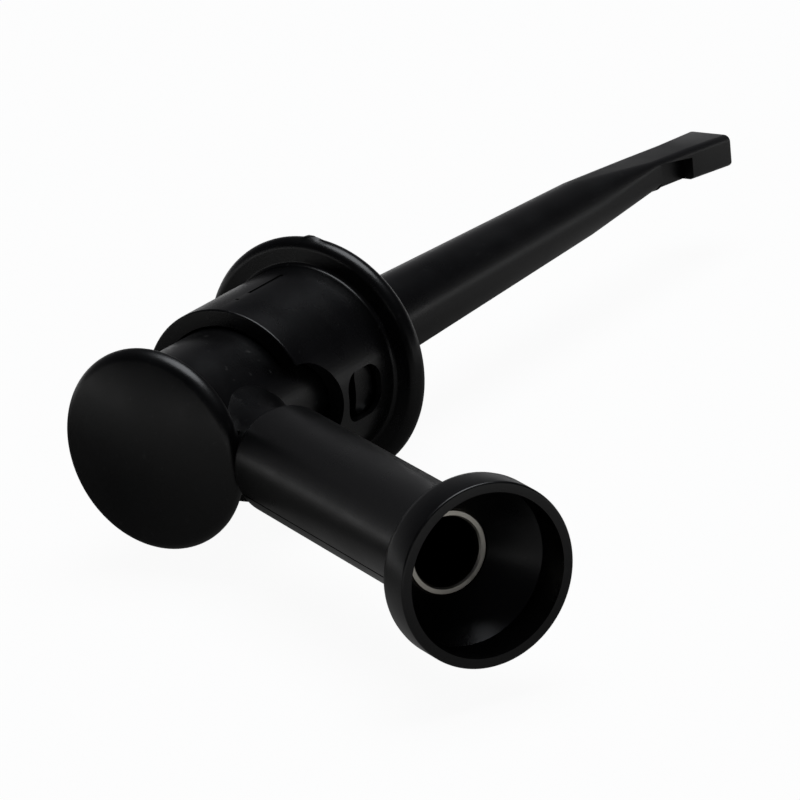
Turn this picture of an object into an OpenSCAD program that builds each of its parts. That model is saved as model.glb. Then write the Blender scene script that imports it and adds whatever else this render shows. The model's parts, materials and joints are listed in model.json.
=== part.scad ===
// Test hook clip. A sprung plunger pushes a small wire hook out of a long insulated nose,
// and a side arm on the plunger carries a 4 mm jack. Lengths are in millimetres.
// Pieces are drawn about the plunger's axis: X runs towards the hook, and x = 0 is the rear
// edge of the thumb cap's rim. The last lines stand the clip on its flange.

/* [Thumb cap] */
// Radius of the cap's rim
cap_r = 6.07; // [5.8:0.01:6.3]
// Thickness of the cap's rim
cap_rim = 0.95; // [0.8:0.05:1.2]
// Height of the dome behind the rim
cap_dome = 1.0; // [0.6:0.05:1.6]
// Rounding of the rim's rear edge
cap_edge = 0.3; // [0.1:0.05:0.4]
// Radius of the plug that closes the stem
plug_r = 2.2; // [1.9:0.05:2.4]
// Length of the plug
plug_len = 2.0; // [1:0.1:2.4]

/* [Collar and flange] */
// Outer radius of the collar
collar_r = 5.94; // [5.7:0.02:6.2]
// Wall of the collar
collar_wall = 1.0; // [0.9:0.05:1.2]
// Collar from its rear rim to the flange
collar_len = 8.5; // [8:0.1:10]
// Radius of the finger flange
flange_r = 7.53; // [7.2:0.02:8]
// Thickness of the flange
flange_t = 1.2; // [1:0.05:1.6]
// Fillet between the collar and the flange
flange_fillet = 0.4; // [0.2:0.05:0.6]
// Radius of the rim notch that takes the arm's neck
notch_r = 3.1; // [3.05:0.05:3.3]
// Bridge between the notch and the lug window
bridge = 0.55; // [0.4:0.05:0.8]
// Skin left outside the lug's keyway
keyway_skin = 0.35; // [0.3:0.05:0.4]
// Depth of the spring's seat in the hub's end wall
seat_depth = 1.2; // [0.8:0.1:1.6]
// Cone from the hub down to the nose
hub_cone = 3.9; // [3.5:0.1:5]

/* [Nose and beak] */
// Nose from the flange's front face to its end
nose_len = 45.6; // [42:0.1:50]
// Radius that the nose tapers from, at the flange
nose_root_r = 2.69; // [2.5:0.01:2.9]
// Radius at the end of the taper
nose_end_r = 1.86; // [1.75:0.01:1.95]
// Length over which the round nose turns into the beak
blend_len = 7.6; // [6:0.1:9]
// Distance from the blend back to the start of the flats on the lower flanks
flank_lead = 1.5; // [1:0.1:3]
// Lean of those flats towards the axis
flank_lean = 2.9; // [2:0.1:3.4]
// Length of the flat beak
beak_len = 9.1; // [8.5:0.1:10]
// Half width of the beak
beak_w = 1.4; // [1.3:0.02:1.5]
// Extra half width of the fishtail at the beak's end
beak_flare = 0.2; // [0:0.02:0.24]
// Thickness of the beak
beak_t = 2.1; // [2.05:0.05:2.2]
// Drop of the beak's middle line at its root
beak_root_drop = 0.12; // [0.1:0.02:0.22]
// Drop of the beak's middle line at its end
beak_end_drop = 0.95; // [0.85:0.05:1.1]
// Length of the rounding at the beak's end
end_round = 0.35; // [0.2:0.05:0.8]
// Rounding of the beak's upper edges
crown_r = 0.45; // [0.3:0.05:0.6]
// Rounding of the beak's lower edges at its root
root_chine_r = 0.9; // [0.6:0.05:0.95]
// Rounding of the beak's lower edges at its end
chine_r = 0.3; // [0.2:0.05:0.4]
// Length of the pocket in each side of the beak
pocket_len = 3.8; // [3:0.1:4]
// Length of the solid block at the beak's end
block_len = 4.7; // [4.2:0.1:4.9]
// Lip left over the pocket at its rear end
pocket_rear_lip = 0.25; // [0.2:0.05:0.4]
// Lip left over the pocket at its front end
pocket_front_lip = 0.6; // [0.4:0.05:0.8]
// Web left between the two pockets, each side of the middle
pocket_web = 0.56; // [0.54:0.02:0.8]

/* [Plunger] */
// Stem that shows between the cap and the collar
stem_show = 7.18; // [6.8:0.02:7.6]
// Travel of the plunger
travel = 4.0; // [3.5:0.1:4.3]
// Length of the lug along the stem
lug_len = 1.7; // [1.4:0.1:2]
// Width of the lug
lug_w = 3.0; // [2.6:0.1:3.2]
// Room behind the lug in its window
lug_play = 1.45; // [1:0.05:1.6]
// Radius of the spring pocket in the stem
pocket_r = 3.4; // [3.25:0.05:3.6]
// Wall between the spring pocket and the rear chamber
floor_t = 1.2; // [1:0.1:1.6]

/* [Side arm] */
// Distance from the collar's rim back to the arm's axis
arm_back = 1.94; // [1.8:0.02:2.2]
// Angle by which the arm sweeps back
arm_sweep = 28.9; // [27:0.1:30]
// Length of the arm, from the plunger's axis to the mouth
arm_len = 33.59; // [31:0.1:36]
// Extra radius of the arm's neck where it leaves the stem
neck_flare = 0.5; // [0:0.05:0.55]
// Length over which the neck's flare runs out
neck_taper = 1.9; // [1:0.1:2.4]
// Radius of the arm's barrel
barrel_r = 3.23; // [3.1:0.01:3.4]
// Distance from the plunger's axis to the barrel
barrel_start = 9.1; // [9.05:0.05:9.6]
// Rounding of the barrel's rear end
barrel_round = 0.6; // [0.2:0.05:0.7]
// Spigot of the stem inside the barrel
spigot_len = 3.9; // [2.5:0.1:5]
// Outer radius of the bell mouth
bell_r = 5.25; // [5.15:0.01:5.5]
// Straight rim of the bell mouth
bell_len = 2.4; // [2:0.1:3]
// Flare from the barrel to the bell mouth
flare_len = 2.0; // [1.7:0.1:2.6]
// Wall of the bell mouth
bell_wall = 0.59; // [0.45:0.02:0.7]
// Depth from the mouth to the socket's face
mouth_depth = 4.62; // [4.4:0.02:4.9]

/* [Socket, ferrule and hook] */
// Radius of the socket's bore, for a 4 mm plug
socket_bore_r = 2.0; // [1.95:0.01:2.05]
// Wall of the socket
socket_wall = 0.45; // [0.4:0.01:0.5]
// Floor of the socket behind its bore
socket_floor = 1.2; // [0.8:0.1:2]
// Radius of the socket's tail
tail_r = 0.8; // [0.6:0.05:0.9]
// Distance from the plunger's axis to the tail's end
tail_stop = 1.1; // [1:0.05:1.3]
// Radius of the ferrule
ferrule_r = 1.6; // [1.5:0.05:1.8]
// Length of the ferrule
ferrule_len = 3.6; // [3:0.1:4]
// Radius of the hook's wire
wire_r = 0.3; // [0.25:0.01:0.32]
// Drop of the hook's shank below the plunger's axis
shank_drop = 0.66; // [0.6:0.02:0.7]
// Distance from the shank down to the hook's return leg
hook_open = 1.35; // [1.3:0.05:1.5]
// Bend radius of the hook, at the wire's middle
hook_bend = 0.45; // [0.4:0.01:0.5]
// Length of the hook's return leg
hook_leg = 1.2; // [0.8:0.1:1.6]

/* [Return spring] */
// Radius of the coil at the wire's middle
coil_r = 2.75; // [2.4:0.05:2.8]
// Radius of the spring's wire
coil_wire_r = 0.28; // [0.2:0.02:0.32]
// Working turns of the coil
coil_turns = 5; // [4:1:6]

/* [Fits] */
// Sliding gap round the stem and its lug
slide_gap = 0.15; // [0.1:0.01:0.2]
// Gap round a pressed or crimped piece
press_gap = 0.02; // [0.01:0.01:0.04]
// Gap round the hook's wire in the nose
wire_gap = 0.12; // [0.08:0.01:0.14]
// Gap between the closed hook and the beak
grip_gap = 0.06; // [0.04:0.01:0.1]
// Gap left in front of the stem at the end of its travel
end_gap = 0.5; // [0.4:0.1:1]

/* [Hidden] */

// Larger than any piece, for cuts that run right through
through = 40;
// Facets of the revolved pieces and of the coil
turned_fn = 96;
coil_steps = 18;
coil_sides = 8;
// Steps in each rounded stretch of a profile
arc_steps = 6;
// Overrun of cuts past a face
slab = 0.02;
// Small rounding of moulded edges
edge_round = 0.2;

// Stations along the plunger's axis
x_collar = cap_rim + stem_show;
x_flange = x_collar + collar_len;
x_flange_front = x_flange + flange_t;
x_window = x_collar + notch_r + bridge;
x_lug = x_window + lug_play;
window_lead = 0.25;
lug_inset = 0.3;
x_window_end = x_lug + lug_len + window_lead;
x_stem_end = x_lug + lug_len + lug_inset;
x_bore_end = x_stem_end + travel + end_gap;
x_keyway_end = x_stem_end + travel;
x_seat = x_bore_end + seat_depth;
hub_lead = 0.2;
x_hub_end = x_bore_end - hub_lead;
x_nose_end = x_flange_front + nose_len;
x_beak = x_nose_end - beak_len;
x_blend = x_beak - blend_len;
x_block = x_nose_end - block_len;
x_pocket = x_block - pocket_len;
x_flank = x_blend - flank_lead;
x_arm = x_collar - arm_back;
ferrule_lead = 1.84;
x_floor = x_arm + ferrule_lead;

// Radii that follow the fits
bore_r = collar_r - collar_wall;
stem_r = bore_r - slide_gap;
keyway_r = collar_r - keyway_skin;
lug_r = keyway_r - slide_gap;
lug_side = 0.2;
window_w = lug_w + 2 * lug_side;
socket_r = socket_bore_r + socket_wall;
neck_r = socket_r;
neck_root_r = neck_r + neck_flare;
insulator_bore_r = socket_r + press_gap;
mouth_r = bell_r - bell_wall;
channel_r = wire_r + wire_gap;

// Stations along the arm
d_spigot_end = barrel_start + spigot_len;
d_face = arm_len - mouth_depth;
d_bell = arm_len - bell_len;
d_flare = d_bell - flare_len;
socket_depth = d_face - d_spigot_end - socket_floor;
d_neck = stem_r + neck_taper;

// Closed hook: its crook stands in a groove in the beak's end
crook_floor = 0.7;
x_crook_floor = x_nose_end - crook_floor;
x_crook = x_crook_floor + grip_gap + wire_r;
leg_drop = shank_drop + hook_open;
groove_half = wire_r + wire_gap;

// Middle of the clip's bounding box, which stands over the origin
box_mid_x = (x_nose_end + x_arm - arm_len * sin(arm_sweep) - bell_r * cos(arm_sweep)) / 2;
box_mid_y = (flange_r - arm_len * cos(arm_sweep) - bell_r * sin(arm_sweep)) / 2;

// Points on an arc, for the rounded stretches of a profile
function arc(cx, cy, r, from, to) =
    [for (i = [0:arc_steps]) let (a = from + (to - from) * i / arc_steps) [cx + r * cos(a), cy + r * sin(a)]];

// A profile of [radius, distance] points, turned about X
module turned(profile) {
    rotate([0, 90, 0]) rotate_extrude($fn = turned_fn) polygon(profile);
}

// A round bar along X between two stations
module bar(r, from, to) {
    translate([from, 0, 0]) rotate([0, 90, 0]) cylinder(r = r, h = to - from, $fn = turned_fn);
}

// The arm's own axis takes the place of X
module along_arm() {
    translate([x_arm, 0, 0]) rotate([0, 0, -90 - arm_sweep]) children();
}

// The clip stands on its flange, with its box centred over the origin
module on_bench() {
    translate([-box_mid_x, -box_mid_y, flange_r]) children();
}

// One ring of the beak's loft: a flat bar with a crowned top and tighter chines below
function beak_ring(x, drop, half_w, half_t, crown, chine) =
    [for (q = [0:3], i = [0:arc_steps - 1])
        let (a = 90 * (q + (i + 0.5) / arc_steps),
             upper = q == 0 || q == 3,
             r = upper ? crown : chine,
             y = (half_w - r) * (q < 2 ? 1 : -1) + r * sin(a),
             z = (half_t - r) * (upper ? 1 : -1) + r * cos(a))
        [x, y, z - drop]];

// Drop of the beak's middle line at a station
function beak_drop(x) =
    beak_root_drop + (beak_end_drop - beak_root_drop) * (x - x_beak) / beak_len;

// Blend from the round nose, and the flat beak with its fishtail and rounded end
module beak() {
    root_r = nose_end_r - slab;
    half_t = beak_t / 2;
    x_round = x_nose_end - end_round;
    tail_w = beak_w + beak_flare;
    rings = [
        beak_ring(x_blend - end_round, 0, root_r, root_r, root_r, root_r),
        beak_ring(x_blend, 0, root_r, root_r, root_r, root_r),
        beak_ring(x_beak, beak_drop(x_beak), beak_w, half_t, crown_r, root_chine_r),
        beak_ring(x_block, beak_drop(x_block), beak_w, half_t, crown_r, chine_r),
        beak_ring(x_round, beak_drop(x_round), tail_w, half_t, crown_r, chine_r),
        beak_ring(x_nose_end, beak_drop(x_nose_end), tail_w - chine_r, half_t - chine_r / 2, chine_r, chine_r)];
    n = len(rings[0]);
    points = [for (ring = rings, p = ring) p];
    sides = [for (i = [0:len(rings) - 2], k = [0:n - 1])
        let (m = (k + 1) % n) [i * n + k, i * n + m, (i + 1) * n + m, (i + 1) * n + k]];
    first = [for (k = [n - 1:-1:0]) k];
    last = [for (k = [0:n - 1]) (len(rings) - 1) * n + k];
    polyhedron(points, concat([first], sides, [last]), convexity = 4);
}

// Outer form of the moulding, from the collar's rim to the end of the round nose
module barrel_outside() {
    rim = flange_t / 2;
    turned(concat(
        [[0, x_collar]],
        arc(collar_r - edge_round, x_collar + edge_round, edge_round, -90, 0),
        arc(collar_r + flange_fillet, x_flange - flange_fillet, flange_fillet, 180, 90),
        arc(flange_r - rim, x_flange + rim, rim, -90, 90),
        [[collar_r, x_flange_front]],
        arc(collar_r - edge_round, x_hub_end - edge_round, edge_round, 0, 90),
        [[nose_r(x_hub_end + hub_cone), x_hub_end + hub_cone],
         [nose_end_r, x_blend],
         [0, x_blend]]));
}

// Radius of the tapered nose at a station
function nose_r(x) =
    nose_root_r + (nose_end_r - nose_root_r) * (x - x_flange_front) / (x_blend - x_flange_front);

// A rounded rectangle in plan, for the window
module rounded_window(length, width, corner) {
    translate([corner, -width / 2]) square([length - 2 * corner, width]);
    translate([0, corner - width / 2]) square([length, width - 2 * corner]);
    for (x = [corner, length - corner], y = [corner - width / 2, width / 2 - corner])
        translate([x, y]) circle(r = corner, $fn = turned_fn);
}

// Notch, window and keyway on the arm's side of the collar
module collar_cuts() {
    window_corner = 1.1;
    translate([x_collar, 0, 0]) rotate([90, 0, 0]) cylinder(r = notch_r, h = through, $fn = turned_fn);
    translate([x_window, 0, 0]) rotate([90, 0, 0]) linear_extrude(through)
        rounded_window(x_window_end - x_window, window_w, window_corner);
    intersection() {
        bar(keyway_r, x_window, x_keyway_end);
        translate([x_window, -through, -window_w / 2]) cube([x_keyway_end - x_window, through, window_w]);
    }
}

// Pockets in the sides of the beak, open below, and the hook's channel and grooves
module beak_cuts() {
    half_t = beak_t / 2;
    for (side = [0, 1])
        mirror([0, side, 0]) translate([0, -pocket_web, 0]) rotate([90, 0, 0]) linear_extrude(through)
            polygon([[x_pocket, half_t - pocket_rear_lip - beak_drop(x_pocket)],
                     [x_block, half_t - pocket_front_lip - beak_drop(x_block)],
                     [x_block, -through], [x_pocket, -through]]);
    translate([0, 0, -shank_drop]) bar(channel_r, x_seat - slab, x_nose_end + slab);
    translate([x_crook_floor, -groove_half, -shank_drop - through])
        cube([through, 2 * groove_half, through]);
    leg_room = hook_leg + 2 * wire_r + hook_bend;
    translate([x_crook - leg_room, -groove_half, -leg_drop + wire_r + grip_gap - through])
        cube([through, 2 * groove_half, through]);
}

// Flats that shave the nose's lower flanks down to the beak
module flank_cuts() {
    down_and_out = 135;
    for (side = [0, 1])
        mirror([0, side, 0]) translate([x_flank, 0, 0]) rotate([down_and_out, 0, 0])
            translate([0, -through / 2, nose_r(x_flank)]) rotate([0, flank_lean, 0])
                cube([x_pocket - x_flank, through, through]);
}

// Collar, flange, hub, nose and beak in one moulding
module barrel_body() {
    color("#17171a") difference() {
        union() {
            barrel_outside();
            beak();
        }
        bar(bore_r, x_collar - slab, x_bore_end);
        bar(pocket_r, x_bore_end - slab, x_seat);
        collar_cuts();
        flank_cuts();
        beak_cuts();
    }
}

// The coil's place along X, with one closed turn at each end
coil_from = x_floor + floor_t + coil_wire_r + press_gap;
coil_to = x_seat - coil_wire_r - press_gap;
closed_rise = 2 * coil_wire_r + press_gap;
function coil_x(turn) =
    turn < 1 ? coil_from + closed_rise * turn :
    turn > coil_turns + 1 ? coil_to - closed_rise * (coil_turns + 2 - turn) :
    coil_from + closed_rise + (coil_to - coil_from - 2 * closed_rise) * (turn - 1) / coil_turns;

// Coil spring between the stem's pocket and its seat in the hub
module return_spring() {
    rings = (coil_turns + 2) * coil_steps;
    points = [for (i = [0:rings], k = [0:coil_sides - 1])
        let (turn = i / coil_steps, a = 360 * turn, b = 360 * k / coil_sides,
             r = coil_r + coil_wire_r * cos(b))
        [coil_x(turn) + coil_wire_r * sin(b), r * cos(a), r * sin(a)]];
    sides = [for (i = [0:rings - 1], k = [0:coil_sides - 1])
        let (n = (k + 1) % coil_sides, p = i * coil_sides, q = p + coil_sides)
        [p + k, q + k, q + n, p + n]];
    first = [for (k = [0:coil_sides - 1]) k];
    last = [for (k = [coil_sides - 1:-1:0]) rings * coil_sides + k];
    color("silver") polyhedron(points, concat([first], sides, [last]), convexity = 10);
}

// Guide lug near the stem's front end
module lug() {
    lug_corner = 0.7;
    intersection() {
        bar(lug_r, x_lug, x_lug + lug_len);
        translate([x_lug, -stem_r + collar_wall, 0]) rotate([90, 0, 0]) linear_extrude(through)
            rounded_window(lug_len, lug_w, lug_corner);
    }
}

// Stem, with the neck and spigot that carry the side arm
module plunger_stem() {
    color("#1b1b1e") difference() {
        union() {
            bar(stem_r, cap_rim, x_stem_end);
            lug();
            along_arm() turned([[0, 0], [neck_root_r, 0], [neck_root_r, stem_r],
                                [neck_r, d_neck], [neck_r, d_spigot_end], [0, d_spigot_end]]);
        }
        bar(cap_r + press_gap, -cap_r, cap_rim);
        bar(plug_r + press_gap, cap_rim - slab, x_floor);
        bar(pocket_r, x_floor + floor_t, x_stem_end + slab);
        translate([0, 0, -shank_drop]) bar(channel_r, x_floor - slab, x_floor + floor_t + slab);
        along_arm() bar(tail_r + press_gap, 0, d_spigot_end + slab);
    }
}

// Domed thumb button, with the plug that closes the stem's rear chamber
module thumb_cap() {
    flat_r = cap_r - cap_edge;
    dome_r = (flat_r * flat_r + cap_dome * cap_dome) / (2 * cap_dome);
    dome_end = asin(flat_r / dome_r);
    color("#1d1d20") turned(concat(
        arc(0, dome_r - cap_dome, dome_r, -90, dome_end - 90),
        arc(flat_r, cap_edge, cap_edge, -90, 0),
        arc(cap_r - edge_round, cap_rim - edge_round, edge_round, 0, 90),
        [[plug_r, cap_rim], [plug_r, cap_rim + plug_len], [0, cap_rim + plug_len]]));
}

// Insulating barrel of the side arm, with its bell mouth
module jack_insulator() {
    color("#19191c") along_arm() turned(concat(
        [[insulator_bore_r, barrel_start]],
        arc(barrel_r - barrel_round, barrel_start + barrel_round, barrel_round, -90, 0),
        [[barrel_r, d_flare]],
        [[bell_r, d_bell]],
        arc(bell_r - edge_round, arm_len - edge_round, edge_round, 0, 90),
        [[mouth_r, arm_len], [mouth_r, d_bell], [insulator_bore_r, d_face]]));
}

// Nickel-plated sleeve for a 4 mm plug, with a tail down the arm's neck
module jack_socket() {
    color("lightgray") along_arm() turned([
        [0, tail_stop], [tail_r, tail_stop], [tail_r, d_spigot_end], [socket_r, d_spigot_end],
        [socket_r, d_face], [socket_bore_r, d_face], [socket_bore_r, d_face - socket_depth],
        [0, d_face - socket_depth]]);
}

// Brass block that is crimped on the hook's shank and the socket's tail
module contact_ferrule() {
    color("goldenrod") difference() {
        bar(ferrule_r, x_floor - ferrule_len, x_floor);
        translate([0, 0, -shank_drop]) bar(wire_r + press_gap, x_floor - through, x_floor + slab);
        along_arm() bar(tail_r + press_gap, tail_stop - press_gap, through);
    }
}

// A quarter bend of the hook's wire, about Y
module wire_bend(from) {
    rotate([90, from, 0]) rotate_extrude(angle = 90, $fn = turned_fn)
        translate([hook_bend, 0]) circle(r = wire_r, $fn = turned_fn);
}

// Gold-plated wire: straight shank, crook at the beak's end and short return leg
module hook_contact() {
    x_bend = x_crook - hook_bend;
    color("gold") {
        translate([0, 0, -shank_drop]) bar(wire_r, x_floor - ferrule_len, x_bend);
        translate([x_bend, 0, -shank_drop - hook_bend]) wire_bend(0);
        translate([x_crook, 0, -leg_drop + hook_bend])
            cylinder(r = wire_r, h = hook_open - 2 * hook_bend, $fn = turned_fn);
        translate([x_bend, 0, -leg_drop + hook_bend]) wire_bend(90);
        translate([0, 0, -leg_drop]) bar(wire_r, x_bend - hook_leg, x_bend);
        translate([x_bend - hook_leg, 0, -leg_drop]) sphere(r = wire_r, $fn = turned_fn);
    }
}

on_bench() barrel_body();
on_bench() return_spring();
on_bench() plunger_stem();
on_bench() thumb_cap();
on_bench() jack_insulator();
on_bench() jack_socket();
on_bench() contact_ferrule();
on_bench() hook_contact();
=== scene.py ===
import json
import math

import bmesh
import bpy
from mathutils import Matrix, Quaternion, Vector


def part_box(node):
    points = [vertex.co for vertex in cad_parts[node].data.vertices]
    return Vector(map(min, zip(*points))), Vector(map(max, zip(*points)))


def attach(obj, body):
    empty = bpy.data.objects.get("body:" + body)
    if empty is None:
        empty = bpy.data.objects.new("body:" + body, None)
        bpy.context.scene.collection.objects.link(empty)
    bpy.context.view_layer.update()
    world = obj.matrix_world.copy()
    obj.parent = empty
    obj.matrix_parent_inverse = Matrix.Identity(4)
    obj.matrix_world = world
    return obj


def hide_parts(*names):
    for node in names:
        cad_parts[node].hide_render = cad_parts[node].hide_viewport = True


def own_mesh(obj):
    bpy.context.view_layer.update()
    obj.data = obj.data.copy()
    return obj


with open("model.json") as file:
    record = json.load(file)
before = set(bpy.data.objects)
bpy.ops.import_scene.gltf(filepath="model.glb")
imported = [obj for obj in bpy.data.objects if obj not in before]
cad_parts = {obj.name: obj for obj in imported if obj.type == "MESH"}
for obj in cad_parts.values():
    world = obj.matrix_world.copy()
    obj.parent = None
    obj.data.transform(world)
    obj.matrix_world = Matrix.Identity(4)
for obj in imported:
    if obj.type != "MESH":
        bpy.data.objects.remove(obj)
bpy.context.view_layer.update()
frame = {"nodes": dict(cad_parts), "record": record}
scene = bpy.context.scene
scene.view_settings.view_transform = "Standard"

# Camera
# The clip is seen from behind the thumb cap and a little above it, through a long lens. The pieces are
# drawn in millimetres from the middle of the collar's rear rim, and to_frame puts them in metres.
body_low, body_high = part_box("barrel_body")
mm = 0.001
rim = Vector((body_low.x, (body_low.y + body_high.y) / 2, (body_low.z + body_high.z) / 2))
to_frame = Matrix.Translation(rim) @ Matrix.Scale(mm, 4)
camera_place = Vector((-284.33, -210.07, 121.72))
camera_aim = Vector((0.7755, 0.54005, -0.32704))
camera_right = Vector((0.54424, -0.83438, -0.0873))
camera = bpy.data.objects.new("camera", bpy.data.cameras.new("camera"))
camera.data.lens = 288.45
camera.data.clip_start = 0.01
camera_up = camera_right.cross(camera_aim)
camera_turn = Matrix((camera_right, camera_up, -camera_aim)).transposed()
camera.matrix_world = Matrix.Translation(to_frame @ camera_place) @ camera_turn.to_4x4()
scene.collection.objects.link(camera)
scene.camera = camera

# Body moulding
# The collar, finger flange, long nose and beak are one black moulding of glass-filled nylon. Its profile
# is turned, the nose's end is drawn out into the beak, and the arm's notch, the lug's window and keyway
# and the hook's channel are cut into it.
collar_r = 5.94
bore_r = 4.94
collar_len = 8.5
flange_r = 7.53
flange_t = 1.2
flange_fillet = 0.25
edge_round = 0.12
bore_len = 11.6
seat_r = 3.4
seat_x = 12.8
hub_end = 11.4
cone_end = 15.3
cone_end_r = 2.53
nose_x = (body_high.x - rim.x) / mm
nose_end_r = 1.86
beak_len = 9.1
blend_len = 7.6
block_len = 4.7
beak_x = nose_x - beak_len
blend_x = beak_x - blend_len
block_x = nose_x - block_len
beak_w = 1.4
beak_flare = 0.2
beak_half_t = 1.05
beak_root_drop = 0.12
beak_end_drop = 0.95
crown_r = 0.45
root_chine_r = 0.9
chine_r = 0.3
end_round = 0.35
end_steps = 4
least_crown_r = 0.1
least_chine_r = 0.05
notch_r = 3.1
window_x = 3.65
window_end = 7.05
window_w = 3.1
window_drop = 0.3
window_corner = 1.1
keyway_r = 5.59
keyway_end = 11.1
wire_r = 0.3
shank_drop = 0.66
leg_drop = 2.01
channel_r = 0.42
channel_lap = 0.02
crook_inset = 0.34
crook_x = nose_x - crook_inset
crook_groove = 0.7
leg_slot = 2.25
leg_room = 0.36
pocket_len = 3.8
pocket_x = block_x - pocket_len
pocket_web = 0.56
pocket_rear_lip = 0.25
pocket_front_lip = 0.6
flank_lead = 1.5
flank_x = blend_x - flank_lead
flank_r = 1.91
flank_lean = 2.9
flank_turn = 135
seam_depth = 0.08
seam_y = 0.05
seam_w = 0.24
seam_runs = ((1.9, 2.1), (3.2, 6.7))
nib_height = 0.13
nib_reach = 0.99
around = 128
rim_steps = 12
corner_steps = 8
along_x = Vector((1, 0, 0))
far = 40
overcut = 1
pole_gap = 0.001
merge_gap = 0.004
sort_line = Vector((1, 1.7, 2.9))
sharp_angle = 32
noise_low = 0.3
noise_high = 0.7
fleck_start = 0.67
fleck_full = 0.77
matt_start = 15
matt_end = 45
black_deep = (0.001, 0.001, 0.0011)
black_pale = (0.0018, 0.0018, 0.002)


def arc(distance, radius, r, start, end, steps=6):
    """Points of a rounded stretch: angle 0 faces away from the axis, and 90 along it."""
    angles = [math.radians(start + (end - start) * i / steps) for i in range(steps + 1)]
    return [(distance + r * math.sin(a), radius + r * math.cos(a)) for a in angles]


def turned(bm, profile, origin=Vector(), along=along_x, steps=around):
    """Spins a profile of (distance, radius) points about an axis and closes its poles."""
    out = along.orthogonal().normalized()
    out.rotate(Quaternion(along, math.pi / steps))
    verts = [bm.verts.new(origin + along * d + out * r) for d, r in profile]
    edges = [bm.edges.new(pair) for pair in zip(verts, verts[1:])]
    bmesh.ops.spin(bm, geom=verts + edges, cent=origin, axis=along, angle=math.tau,
                   steps=steps, use_merge=True)
    bmesh.ops.remove_doubles(bm, verts=bm.verts, dist=pole_gap)
    bmesh.ops.recalc_face_normals(bm, faces=bm.faces)


def shape(name, bm):
    """An object that holds the mesh, still in millimetres."""
    mesh = bpy.data.meshes.new(name)
    bm.to_mesh(mesh)
    bm.free()
    piece = bpy.data.objects.new(name, mesh)
    scene.collection.objects.link(piece)
    return piece


def settle(piece):
    """Applies the piece's modifiers to its mesh, and sorts it so that each run gives the same one. Points
    that lie on each other are merged, and the pinholes that this leaves are closed."""
    bm = bmesh.new()
    bm.from_object(piece, bpy.context.evaluated_depsgraph_get())
    bm.verts.sort(key=lambda v: v.co.dot(sort_line))
    bm.edges.sort(key=lambda e: (e.verts[0].co + e.verts[1].co).dot(sort_line))
    bm.faces.sort(key=lambda f: f.calc_center_median().dot(sort_line))
    bmesh.ops.remove_doubles(bm, verts=bm.verts, dist=merge_gap)
    bmesh.ops.dissolve_degenerate(bm, edges=bm.edges, dist=merge_gap)
    bmesh.ops.holes_fill(bm, edges=[e for e in bm.edges if e.is_boundary])
    piece.modifiers.clear()
    bm.to_mesh(piece.data)
    bm.free()


def join(piece, tool, operation):
    """Cuts a tool out of a piece, or unites or intersects the two, and drops the tool."""
    boolean = piece.modifiers.new("boolean", "BOOLEAN")
    boolean.operation = operation
    boolean.solver = "EXACT"
    boolean.object = tool
    settle(piece)
    bpy.data.objects.remove(tool)


def bar(r, start, end, drop=0, origin=Vector(), along=along_x):
    """A round bar between two distances along an axis."""
    bm = bmesh.new()
    turned(bm, [(start, 0), (start, r), (end, r), (end, 0)], origin - Vector((0, 0, drop)), along)
    return shape("bar", bm)


def block(low, high, corner=0):
    """A box between two corners, with its edges along Y rounded."""
    low, high = Vector(low), Vector(high)
    bm = bmesh.new()
    bmesh.ops.create_cube(bm, size=1)
    bmesh.ops.scale(bm, vec=high - low, verts=bm.verts)
    bmesh.ops.translate(bm, vec=(low + high) / 2, verts=bm.verts)
    if corner:
        edges = [e for e in bm.edges if e.verts[0].co.y != e.verts[1].co.y]
        bmesh.ops.bevel(bm, geom=edges, offset=corner, affect="EDGES", segments=corner_steps, profile=0.5,
                        material=-1)
    return shape("block", bm)


def plate(outline, low_y, high_y):
    """A flat outline of (x, z) points, drawn out between two places along Y."""
    bm = bmesh.new()
    face = bm.faces.new([bm.verts.new((x, low_y, z)) for x, z in outline])
    drawn = bmesh.ops.extrude_face_region(bm, geom=[face])["geom"]
    verts = [v for v in drawn if isinstance(v, bmesh.types.BMVert)]
    bmesh.ops.translate(bm, vec=(0, high_y - low_y, 0), verts=verts)
    bmesh.ops.recalc_face_normals(bm, faces=bm.faces)
    return shape("plate", bm)


def dress(piece, material, body, node):
    """Puts a finished piece in the frame, in place of its CAD node."""
    piece.data.transform(to_frame)
    piece.data.shade_smooth()
    piece.data.set_sharp_from_angle(angle=math.radians(sharp_angle))
    piece.data.materials.clear()
    piece.data.materials.append(material)
    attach(piece, body)
    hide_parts(node)


def grain(nodes, links, size, detail):
    """A noise on Object coordinates, with its features about size millimetres across."""
    place = nodes.new("ShaderNodeTexCoord")
    noise = nodes.new("ShaderNodeTexNoise")
    noise.inputs["Scale"].default_value = 1 / (size * mm)
    noise.inputs["Detail"].default_value = detail
    links.new(place.outputs["Object"], noise.inputs["Vector"])
    return noise.outputs["Fac"]


def spread(nodes, links, value, low, high):
    """The middle of a noise, spread between two values."""
    fit = nodes.new("ShaderNodeMapRange")
    fit.inputs["From Min"].default_value = noise_low
    fit.inputs["From Max"].default_value = noise_high
    fit.inputs["To Min"].default_value = low
    fit.inputs["To Max"].default_value = high
    links.new(value, fit.inputs["Value"])
    return fit.outputs["Result"]


def tint(nodes, links, value, low, high):
    """The middle of a noise, spread between two colours."""
    ramp = nodes.new("ShaderNodeValToRGB")
    ramp.color_ramp.elements[0].position = noise_low
    ramp.color_ramp.elements[0].color = (*low, 1)
    ramp.color_ramp.elements[1].position = noise_high
    ramp.color_ramp.elements[1].color = (*high, 1)
    links.new(value, ramp.inputs["Fac"])
    return ramp.outputs["Color"]


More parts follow.
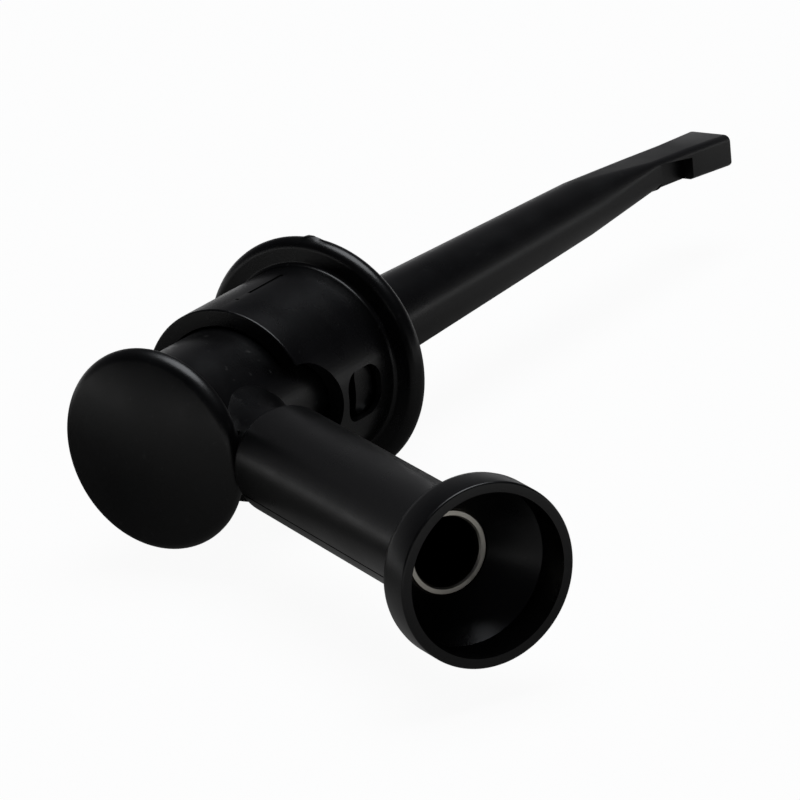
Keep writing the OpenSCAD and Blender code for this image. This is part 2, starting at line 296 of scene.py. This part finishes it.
def dents(nodes, links, value, height, strength):
    """A bump from a noise, height metres deep."""
    bump = nodes.new("ShaderNodeBump")
    bump.inputs["Strength"].default_value = strength
    bump.inputs["Distance"].default_value = height
    links.new(value, bump.inputs["Height"])
    return bump.outputs["Normal"]


def fade(nodes, links, start, end, high, low=0, along=along_x):
    """A value that goes from low to high between two places along an axis."""
    place = nodes.new("ShaderNodeTexCoord")
    reach = nodes.new("ShaderNodeVectorMath")
    reach.operation = "DOT_PRODUCT"
    reach.inputs[1].default_value = along
    fit = nodes.new("ShaderNodeMapRange")
    fit.inputs["From Min"].default_value = start
    fit.inputs["From Max"].default_value = end
    fit.inputs["To Min"].default_value = low
    fit.inputs["To Max"].default_value = high
    links.new(place.outputs["Object"], reach.inputs[0])
    links.new(reach.outputs["Value"], fit.inputs["Value"])
    return fit.outputs["Result"]


def combine(nodes, links, operation, first, second):
    """The sum, product or larger of two values."""
    math_node = nodes.new("ShaderNodeMath")
    math_node.operation = operation
    links.new(first, math_node.inputs[0])
    links.new(second, math_node.inputs[1])
    return math_node.outputs[0]


def flecks(nodes, links, size, colour, dust):
    """Adds sparse pale specks of dust, about size millimetres across, to a colour."""
    fit = nodes.new("ShaderNodeMapRange")
    fit.inputs["From Min"].default_value = fleck_start
    fit.inputs["From Max"].default_value = fleck_full
    links.new(grain(nodes, links, size, detail=2), fit.inputs["Value"])
    mix = nodes.new("ShaderNodeMix")
    mix.data_type = "RGBA"
    mix.inputs["B"].default_value = (dust, dust, dust * 0.95, 1)
    links.new(fit.outputs["Result"], mix.inputs["Factor"])
    links.new(colour, mix.inputs["A"])
    return mix.outputs["Result"]


def black_plastic(name, shine, dull, dust, matt=0):
    """Black moulded nylon: a faint cloudy tone with a little dust, a fine spark-eroded grain, and an uneven
    sheen that may get duller along the nose."""
    material = bpy.data.materials.new(name)
    material.use_nodes = True
    nodes, links = material.node_tree.nodes, material.node_tree.links
    plastic = nodes["Principled BSDF"]
    plastic.inputs["Specular IOR Level"].default_value = 0.4
    cloud = grain(nodes, links, size=2.5, detail=4)
    fine = grain(nodes, links, size=0.16, detail=3)
    tone = tint(nodes, links, cloud, black_deep, black_pale)
    links.new(flecks(nodes, links, size=0.45, colour=tone, dust=dust), plastic.inputs["Base Color"])
    sheen = spread(nodes, links, cloud, shine, dull)
    if matt:
        along_nose = fade(nodes, links, rim.x + matt_start * mm, rim.x + matt_end * mm, matt)
        sheen = combine(nodes, links, "ADD", sheen, along_nose)
    links.new(sheen, plastic.inputs["Roughness"])
    links.new(dents(nodes, links, fine, height=0.01 * mm, strength=0.35), plastic.inputs["Normal"])
    return material


def beak_point(point, x, half_w, half_t, crown, chine, drop):
    """Moves a point of the round nose to the beak's crowned bar."""
    r = crown if point.z > 0 else chine
    y = math.copysign(half_w - r, point.y) + r * point.y / nose_end_r
    z = math.copysign(half_t - r, point.z) + r * point.z / nose_end_r
    return Vector((x, y, z - drop))


def beak_drop(x):
    """Drop of the beak's middle line at a place along it."""
    return beak_root_drop + (beak_end_drop - beak_root_drop) * (x - beak_x) / (nose_x - beak_x)


bm = bmesh.new()
flange_front = collar_len + flange_t
turned(bm, [(seat_x, 0), (seat_x, seat_r), (bore_len, seat_r), (bore_len, bore_r), (0, bore_r)]
       + arc(edge_round, collar_r - edge_round, edge_round, -90, 0)
       + arc(collar_len - flange_fillet, collar_r + flange_fillet, flange_fillet, 180, 90)
       + arc(collar_len + flange_t / 2, flange_r - flange_t / 2, flange_t / 2, -90, 90, rim_steps)
       + [(flange_front, collar_r)]
       + arc(hub_end - edge_round, collar_r - edge_round, edge_round, 0, 90)
       + [(cone_end, cone_end_r), (blend_x, nose_end_r)])
for v in bm.verts:
    if v.co.z > flange_r * nib_reach and v.co.y < 0:
        v.co.z += nib_height
tail_w = beak_w + beak_flare
stations = [
    (beak_x, beak_w, beak_half_t, crown_r, root_chine_r),
    (block_x, beak_w, beak_half_t, crown_r, chine_r)]
for i in range(end_steps + 1):
    lean = math.pi / 2 * i / end_steps
    inset = end_round * (1 - math.cos(lean))
    stations.append((nose_x - end_round + end_round * math.sin(lean), tail_w - inset, beak_half_t - inset,
                     max(crown_r - inset, least_crown_r), max(chine_r - inset, least_chine_r)))
rings = []
for _ in stations:
    edges = [e for e in bm.edges if e.is_boundary]
    drawn = bmesh.ops.extrude_edge_only(bm, edges=edges)["geom"]
    rings.append([v for v in drawn if isinstance(v, bmesh.types.BMVert)])
for ring, (x, half_w, half_t, crown, chine) in zip(rings, stations):
    for v in ring:
        v.co = beak_point(v.co, x, half_w, half_t, crown, chine, beak_drop(x))
bmesh.ops.edgeloop_fill(bm, edges=[e for e in bm.edges if e.is_boundary])
bmesh.ops.recalc_face_normals(bm, faces=bm.faces)
body = shape("body_moulding", bm)
join(body, bar(notch_r, 0, far, along=Vector((0, -1, 0))), "DIFFERENCE")
window_low = -window_drop - window_w / 2
window_high = -window_drop + window_w / 2
join(body, block((window_x, -far, window_low), (window_end, 0, window_high), window_corner), "DIFFERENCE")
keyway = bar(keyway_r, window_x, keyway_end)
join(keyway, block((window_x, -far, window_low), (keyway_end, 0, window_high)), "INTERSECT")
join(body, keyway, "DIFFERENCE")
for start, end in seam_runs:
    join(body, block((start, seam_y, collar_r - seam_depth), (end, seam_y + seam_w, far)), "DIFFERENCE")
for side in (-1, 1):
    flank = block((0, -far, 0), (pocket_x - flank_x, far, far))
    flank.data.transform(Matrix.Rotation(math.radians(flank_lean), 4, "Y"))
    flank.data.transform(Matrix.Translation((0, 0, flank_r)))
    flank.data.transform(Matrix.Rotation(math.radians(-flank_turn * side), 4, "X"))
    flank.data.transform(Matrix.Translation((flank_x, 0, 0)))
    join(body, flank, "DIFFERENCE")
pocket = [(pocket_x, beak_half_t - pocket_rear_lip - beak_drop(pocket_x)),
          (block_x, beak_half_t - pocket_front_lip - beak_drop(block_x)),
          (block_x, -far), (pocket_x, -far)]
for side in (-1, 1):
    join(body, plate(pocket, side * pocket_web, side * far), "DIFFERENCE")
nose_clear = nose_x + overcut
join(body, bar(channel_r, seat_x - channel_lap, nose_clear, shank_drop), "DIFFERENCE")
for start, top in ((nose_x - crook_groove, -shank_drop), (crook_x - leg_slot, leg_room - leg_drop)):
    join(body, block((start, -channel_r, -far), (nose_clear, channel_r, top)), "DIFFERENCE")
body_plastic = black_plastic("body_plastic", shine=0.25, dull=0.31, dust=0.008, matt=0.1)
dress(body, body_plastic, "body", "barrel_body")

# Return spring
# A compression spring of drawn stainless wire, coiled with one closed turn at each end. It stands between
# the floor of the stem's pocket and its seat in the body. It gets shorter as the cap is pressed, but here it
# is drawn at one length and rides with the body.
coil_r = 2.75
coil_wire_r = 0.28
coil_turns = 5
coil_steps = 40
coil_sides = 10
coil_start = 1.4
coil_end = 12.5
closed_rise = 0.58
stem_pocket_floor = 1.1


def metal(name, deep, pale, shine, dull, mark, depth):
    """Bare or plated metal with a slightly uneven tone and sheen and fine tool marks."""
    material = bpy.data.materials.new(name)
    material.use_nodes = True
    nodes, links = material.node_tree.nodes, material.node_tree.links
    plating = nodes["Principled BSDF"]
    plating.inputs["Metallic"].default_value = 1
    cloud = grain(nodes, links, size=0.8, detail=3)
    fine = grain(nodes, links, size=mark, detail=2)
    links.new(tint(nodes, links, cloud, deep, pale), plating.inputs["Base Color"])
    links.new(spread(nodes, links, cloud, shine, dull), plating.inputs["Roughness"])
    links.new(dents(nodes, links, fine, height=depth * mm, strength=0.4), plating.inputs["Normal"])
    return material


bm = bmesh.new()
ring = bmesh.ops.create_circle(bm, segments=coil_sides, radius=coil_wire_r,
                               matrix=Matrix.Translation((coil_start, coil_r, 0)))["verts"]
swept = ring + list(bm.edges)
working_rise = (coil_end - coil_start - 2 * closed_rise) / coil_turns
for turns, rise in ((1, closed_rise), (coil_turns, working_rise), (1, closed_rise)):
    swept = bmesh.ops.spin(bm, geom=swept, axis=along_x, dvec=along_x * (rise / coil_steps),
                           angle=math.tau * turns, steps=coil_steps * turns)["geom_last"]
bmesh.ops.holes_fill(bm, edges=[e for e in bm.edges if e.is_boundary])
bmesh.ops.recalc_face_normals(bm, faces=bm.faces)
spring = shape("coil_spring", bm)
spring_steel = metal("spring_steel", deep=(0.5, 0.5, 0.5), pale=(0.62, 0.62, 0.61), shine=0.22, dull=0.34,
                     mark=0.05, depth=0.002)
dress(spring, spring_steel, "body", "return_spring")
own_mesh(spring)

# Hook
# One length of gold-plated beryllium copper wire: a straight shank down the nose, a crook that stands in
# the groove at the beak's end, and a short return leg under the beak.
hook_bend = 0.45
hook_leg = 1.2
shank_start = -3.7
bend_x = crook_x - hook_bend
bend_steps = 8
tip_steps = 5
wire_sides = 20


def run(bm, geom, move):
    """Draws the end of a wire straight on."""
    edges = [g for g in geom if isinstance(g, bmesh.types.BMEdge)]
    drawn = bmesh.ops.extrude_edge_only(bm, edges=edges)["geom"]
    verts = [g for g in drawn if isinstance(g, bmesh.types.BMVert)]
    bmesh.ops.translate(bm, vec=move, verts=verts)
    return verts + [e for e in bm.edges if e.verts[0] in verts and e.verts[1] in verts]


def bend(bm, geom, centre):
    """Turns the end of a wire down through a right angle."""
    return bmesh.ops.spin(bm, geom=geom, cent=centre, axis=(0, 1, 0), angle=math.pi / 2,
                          steps=bend_steps)["geom_last"]


bm = bmesh.new()
shank_end = Matrix.Translation((shank_start, 0, -shank_drop)) @ Matrix.Rotation(math.pi / 2, 4, "Y")
ring = bmesh.ops.create_circle(bm, segments=wire_sides, radius=wire_r, matrix=shank_end)["verts"]
wire = ring + list(bm.edges)
wire = run(bm, wire, (bend_x - shank_start, 0, 0))
wire = bend(bm, wire, (bend_x, 0, -shank_drop - hook_bend))
wire = run(bm, wire, (0, 0, shank_drop - leg_drop + 2 * hook_bend))
wire = bend(bm, wire, (bend_x, 0, hook_bend - leg_drop))
wire = run(bm, wire, (-hook_leg, 0, 0))
tip_leans = [math.pi / 2 * i / tip_steps for i in range(tip_steps)]
for last_lean, lean in zip(tip_leans, tip_leans[1:]):
    wire = run(bm, wire, (wire_r * (math.sin(last_lean) - math.sin(lean)), 0, 0))
    verts = [g for g in wire if isinstance(g, bmesh.types.BMVert)]
    shrink = math.cos(lean) / math.cos(last_lean)
    bmesh.ops.scale(bm, vec=(1, shrink, shrink), verts=verts,
                    space=Matrix.Translation((0, 0, leg_drop)))
bmesh.ops.holes_fill(bm, edges=[e for e in bm.edges if e.is_boundary])
bmesh.ops.recalc_face_normals(bm, faces=bm.faces)
hook = shape("hook_wire", bm)
gold_plate = metal("gold_plate", deep=(0.72, 0.5, 0.17), pale=(0.86, 0.64, 0.26), shine=0.2, dull=0.32,
                   mark=0.08, depth=0.002)
dress(hook, gold_plate, "plunger", "hook_contact")

# Ferrule
# A short block of bare turned brass in the stem's rear chamber. The hook's shank and the socket's tail are
# crimped in its two holes.
bare_brass = metal("bare_brass", deep=(0.55, 0.38, 0.14), pale=(0.72, 0.53, 0.24), shine=0.3, dull=0.5,
                   mark=0.1, depth=0.004)
ferrule = frame["nodes"]["contact_ferrule"]
ferrule.data.materials.clear()
ferrule.data.materials.append(bare_brass)

# Plunger stem
# A black nylon moulding that slides in the collar. The neck of the side arm leaves it through the collar's
# notch, a lug runs in the keyway, and it is hollow for the ferrule behind and the spring in front.
stem_r = 4.79
cap_plane = -7.18
cap_r = 6.07
stem_end = 7.1
chamber_r = 2.22
chamber_floor = -0.1
lug_x = 5.1
lug_len = 1.7
lug_w = 3.0
lug_root = 1
lug_r = 5.44
lug_corner = 0.7
neck_root_r = 2.95
neck_r = 2.45
neck_taper_end = 6.69
spigot_end = 13.0
tail_bore_r = 0.82
press_gap = 0.02
jack_bore = next(m for m in frame["record"]["mounts"] if m["name"] == "jack_bore")
arm = Vector(jack_bore["axis"]).normalized()
bore_middle = to_frame.inverted() @ Vector(jack_bore["pos_m"])
arm_root = bore_middle - arm * (bore_middle.y / arm.y)
stem = bar(stem_r, cap_plane, stem_end)
stem.name = "stem_moulding"
bm = bmesh.new()
turned(bm, [(0, 0), (0, neck_root_r), (stem_r, neck_root_r), (neck_taper_end, neck_r), (spigot_end, neck_r),
            (spigot_end, 0)], arm_root, arm)
join(stem, shape("neck", bm), "UNION")
lug = bar(lug_r, lug_x, lug_x + lug_len)
lug_low = (lug_x, -far, -window_drop - lug_w / 2)
lug_high = (lug_x + lug_len, lug_root - stem_r, lug_w / 2 - window_drop)
join(lug, block(lug_low, lug_high, lug_corner), "INTERSECT")
join(stem, lug, "UNION")
join(stem, bar(cap_r + press_gap, cap_plane - far, cap_plane), "DIFFERENCE")
join(stem, bar(chamber_r, cap_plane - overcut, chamber_floor), "DIFFERENCE")
join(stem, bar(seat_r, stem_pocket_floor, stem_end + overcut), "DIFFERENCE")
channel_start = chamber_floor - channel_lap
join(stem, bar(channel_r, channel_start, stem_pocket_floor + channel_lap, shank_drop), "DIFFERENCE")
join(stem, bar(tail_bore_r, 0, spigot_end + overcut, origin=arm_root, along=arm), "DIFFERENCE")
plunger_plastic = black_plastic("plunger_plastic", shine=0.26, dull=0.35, dust=0.025)
dress(stem, plunger_plastic, "plunger", "plunger_stem")

# Thumb cap
# A domed black nylon button with a well rounded rim, slightly dulled by thumbs. Its plug is pressed into the
# stem's rear chamber and closes it.
cap_height = 1.95
cap_edge = 0.8
cap_front_round = 0.38
dome_steps = 16
plug_r = 2.2
plug_len = 2.0
edge_x = cap_plane - cap_front_round
edge_r = cap_r - cap_edge
edge_depth = cap_height - cap_front_round
dome_r = (edge_r ** 2 + edge_depth ** 2 - cap_edge ** 2) / (2 * (edge_depth - cap_edge))
dome_end = math.degrees(math.atan2(edge_r, dome_r - edge_depth))
bm = bmesh.new()
turned(bm, arc(cap_plane - cap_height + dome_r, 0, dome_r, -90, dome_end - 90, dome_steps)
       + arc(edge_x, edge_r, cap_edge, dome_end - 90, 0, rim_steps)
       + arc(edge_x, cap_r - cap_front_round, cap_front_round, 0, 90)
       + [(cap_plane, plug_r), (cap_plane + plug_len, plug_r), (cap_plane + plug_len, 0)])
cap = shape("thumb_button", bm)
cap_plastic = black_plastic("cap_plastic", shine=0.28, dull=0.36, dust=0.008)
dress(cap, cap_plastic, "plunger", "thumb_cap")

# Jack socket
# A turned brass sleeve, nickel plated, that takes a 4 mm plug. It is bright at the lip, and shade is painted
# into its colour down the bore; its solid tail runs down the arm's neck to the ferrule.
socket_r = 2.45
socket_bore_r = jack_bore["dims"]["r_mm"]
bore_half = jack_bore["dims"]["length_mm"] / 2
bore_d = (bore_middle - arm_root).length
socket_face = bore_d + bore_half
bore_floor = bore_d - bore_half
tail_r = 0.8
tail_stop = 1.1
lip = 0.1
# Painted shade down the bore: it starts and is full at these depths below the lip, in this colour.
bore_shade_start = 0.05
bore_shade_full = 0.9
bore_shade_colour = (0.05, 0.047, 0.04)
bm = bmesh.new()
turned(bm, [(tail_stop, 0), (tail_stop, tail_r), (spigot_end, tail_r), (spigot_end, socket_r),
            (socket_face - lip, socket_r), (socket_face, socket_r - lip), (socket_face, socket_bore_r + lip),
            (socket_face - lip, socket_bore_r), (bore_floor, socket_bore_r), (bore_floor, 0)], arm_root, arm)
socket = shape("socket_sleeve", bm)
nickel_plate = metal("nickel_plate", deep=(0.66, 0.63, 0.56), pale=(0.8, 0.77, 0.7), shine=0.3, dull=0.42,
                     mark=0.07, depth=0.003)
nodes, links = nickel_plate.node_tree.nodes, nickel_plate.node_tree.links
plating = nodes["Principled BSDF"].inputs["Base Color"]
face_place = (to_frame @ (arm_root + arm * socket_face)).dot(arm)
# Painted shade: the plating's colour is multiplied darker down the bore, away from the lip.
shaded_plating = nodes.new("ShaderNodeMix")
shaded_plating.data_type = "RGBA"
shaded_plating.blend_type = "MULTIPLY"
shaded_plating.inputs["B"].default_value = (*bore_shade_colour, 1)
bore_shade_fade = fade(nodes, links, face_place - bore_shade_full * mm, face_place - bore_shade_start * mm, high=0, low=1,
               along=arm)
links.new(bore_shade_fade, shaded_plating.inputs["Factor"])
links.new(plating.links[0].from_socket, shaded_plating.inputs["A"])
links.new(shaded_plating.outputs["Result"], plating)
dress(socket, nickel_plate, "plunger", "jack_socket")

# Jack insulator
# The black nylon barrel of the side arm, pressed over the neck's spigot and the socket. Its bell mouth
# shrouds the plug, and the mould's parting line shows low on the barrel's rear side.
barrel_r = 3.23
barrel_start = 9.1
barrel_round = 0.6
bell_r = 5.25
mouth_r = 4.66
mouth_depth = 4.62
bell_len = 2.4
flare_len = 2.0
arm_len = socket_face + mouth_depth
bell_start = arm_len - bell_len
flare_start = bell_start - flare_len
insulator_bore_r = 2.47
bell_edge = 0.13
flare_ease = 0.5
flare_steps = 10
line_angle = math.radians(24)
line_depth = 0.06
line_w = 0.12
line_round = 0.07


def ease(t):
    """A smooth step from 0 to 1."""
    return t * t * (3 - 2 * t)


def soften(piece, width, angle=40, segments=2):
    """Rounds the sharp edges of a moulding."""
    bevel = piece.modifiers.new("bevel", "BEVEL")
    bevel.width = width
    bevel.segments = segments
    bevel.limit_method = "ANGLE"
    bevel.angle_limit = math.radians(angle)
    settle(piece)


flare_run = bell_start - flare_start + 2 * flare_ease
flare = [(flare_start - flare_ease + flare_run * i / flare_steps,
          barrel_r + (bell_r - barrel_r) * ease(i / flare_steps)) for i in range(flare_steps + 1)]
bm = bmesh.new()
profile = ([(barrel_start, insulator_bore_r)]
           + arc(barrel_start + barrel_round, barrel_r - barrel_round, barrel_round, -90, 0)
           + flare
           + arc(arm_len - bell_edge, bell_r - bell_edge, bell_edge, 0, 90)
           + [(arm_len, mouth_r), (bell_start, mouth_r), (socket_face, insulator_bore_r)])
turned(bm, profile + profile[:1], arm_root, arm)
insulator = shape("arm_barrel", bm)
rear = arm.cross(Vector((0, 0, 1)))
line_out = rear * math.cos(line_angle) - Vector((0, 0, math.sin(line_angle)))
for out in (line_out, -line_out):
    groove = block((barrel_start + barrel_round, -line_w / 2, barrel_r - line_depth),
                   (flare_start, line_w / 2, barrel_r + overcut))
    turn = Matrix((arm, out.cross(arm), out)).transposed().to_4x4()
    groove.data.transform(Matrix.Translation(arm_root) @ turn)
    join(insulator, groove, "DIFFERENCE")
soften(insulator, line_round)
arm_plastic = black_plastic("arm_plastic", shine=0.27, dull=0.34, dust=0.006)
dress(insulator, arm_plastic, "plunger", "jack_insulator")

# Floor and studio light
# The clip stands on its flange on a wide white sheet, under one large soft lamp, in a dim room that is
# palest low down behind it. The camera sees the sheet and the backdrop as white, and mirror rays see them
# dimmed. On the sheet, mirror rays see a painted shadow of the clip: its glow is dimmest close behind the
# clip and grows to white far off.
sheet_half = 4
sheet_white = 0.95
# Painted shadow of the clip on the sheet, seen by mirror rays: its middle, its reach in metres, and glow
# levels at shares of that reach.
painted_shadow_middle = (-0.005, 0.042, 0)
painted_shadow_reach = 0.2
painted_shadow_levels = ((0.16, 0.05), (0.25, 0.2), (0.4, 0.21), (1, 1))
room_facing = (-0.35, -0.3, 1.2)
room_low = -0.3
room_high = 0.25
room_glow = 0.17
room_tone = (0.035, 0.035, 0.04, 1)


def ray_kinds(nodes, links):
    """Tells the camera's own rays, and the rays that a surface mirrors or lets through."""
    path = nodes.new("ShaderNodeLightPath")
    mirrored = combine(nodes, links, "MAXIMUM",
                       path.outputs["Is Glossy Ray"], path.outputs["Is Transmission Ray"])
    return path.outputs["Is Camera Ray"], mirrored


floor_mesh = bmesh.new()
bmesh.ops.create_grid(floor_mesh, x_segments=1, y_segments=1, size=sheet_half)
floor = shape("floor", floor_mesh)
sheet = bpy.data.materials.new("white_sheet")
sheet.use_nodes = True
nodes, links = sheet.node_tree.nodes, sheet.node_tree.links
nodes["Principled BSDF"].inputs["Base Color"].default_value = (0.9, 0.9, 0.9, 1)
nodes["Principled BSDF"].inputs["Roughness"].default_value = 0.9
nodes["Principled BSDF"].inputs["Specular IOR Level"].default_value = 0
white = nodes.new("ShaderNodeEmission")
direct, mirrored = ray_kinds(nodes, links)
seen = nodes.new("ShaderNodeMath")
seen.operation = "MULTIPLY_ADD"
seen.inputs[1].default_value = sheet_white
links.new(direct, seen.inputs[0])
links.new(mirrored, seen.inputs[2])
# Painted shadow: the glow that mirror rays see is dimmed by distance from the clip.
place = nodes.new("ShaderNodeTexCoord")
away = nodes.new("ShaderNodeVectorMath")
away.operation = "DISTANCE"
away.inputs[1].default_value = painted_shadow_middle
links.new(place.outputs["Object"], away.inputs[0])
share = nodes.new("ShaderNodeMath")
share.operation = "DIVIDE"
share.inputs[1].default_value = painted_shadow_reach
links.new(away.outputs["Value"], share.inputs[0])
painted_shadow_ramp = nodes.new("ShaderNodeValToRGB")
stops = painted_shadow_ramp.color_ramp.elements
while len(stops) < len(painted_shadow_levels):
    stops.new(1)
for stop, (distance, level) in zip(stops, painted_shadow_levels):
    stop.position = distance
    stop.color = (level, level, level, 1)
links.new(share.outputs[0], painted_shadow_ramp.inputs["Fac"])
links.new(combine(nodes, links, "MAXIMUM", direct, painted_shadow_ramp.outputs["Color"]), white.inputs["Strength"])
blend = nodes.new("ShaderNodeMixShader")
links.new(seen.outputs[0], blend.inputs[0])
links.new(nodes["Principled BSDF"].outputs[0], blend.inputs[1])
links.new(white.outputs[0], blend.inputs[2])
links.new(blend.outputs[0], nodes["Material Output"].inputs["Surface"])
floor.data.materials.append(sheet)

lamp = bpy.data.objects.new("soft_lamp", bpy.data.lights.new("soft_lamp", "AREA"))
lamp.data.shape = "DISK"
lamp.data.size = 0.5
lamp.data.energy = 2.8
lamp.data.color = (0.93, 0.96, 1.0)
lamp.location = (0.06, -0.05, 0.58)
lamp.rotation_euler = (-Vector(lamp.location)).to_track_quat("-Z", "Y").to_euler()
lamp.visible_camera = False
scene.collection.objects.link(lamp)

world = bpy.data.worlds.new("studio")
scene.world = world
world.use_nodes = True
nodes, links = world.node_tree.nodes, world.node_tree.links
ray = nodes.new("ShaderNodeTexCoord")
facing = nodes.new("ShaderNodeVectorMath")
facing.operation = "DOT_PRODUCT"
facing.inputs[1].default_value = room_facing
links.new(ray.outputs["Generated"], facing.inputs[0])
dim = nodes.new("ShaderNodeMapRange")
dim.inputs["From Min"].default_value = room_low
dim.inputs["From Max"].default_value = room_high
dim.inputs["To Min"].default_value = room_glow
dim.inputs["To Max"].default_value = 0
links.new(facing.outputs["Value"], dim.inputs["Value"])
direct, mirrored = ray_kinds(nodes, links)
dimmed = combine(nodes, links, "MULTIPLY", mirrored, dim.outputs["Result"])
seen = combine(nodes, links, "MAXIMUM", direct, dimmed)
backdrop = nodes.new("ShaderNodeMix")
backdrop.data_type = "RGBA"
backdrop.inputs["A"].default_value = room_tone
backdrop.inputs["B"].default_value = (1, 1, 1, 1)
links.new(seen, backdrop.inputs["Factor"])
links.new(backdrop.outputs["Result"], nodes["Background"].inputs["Color"])
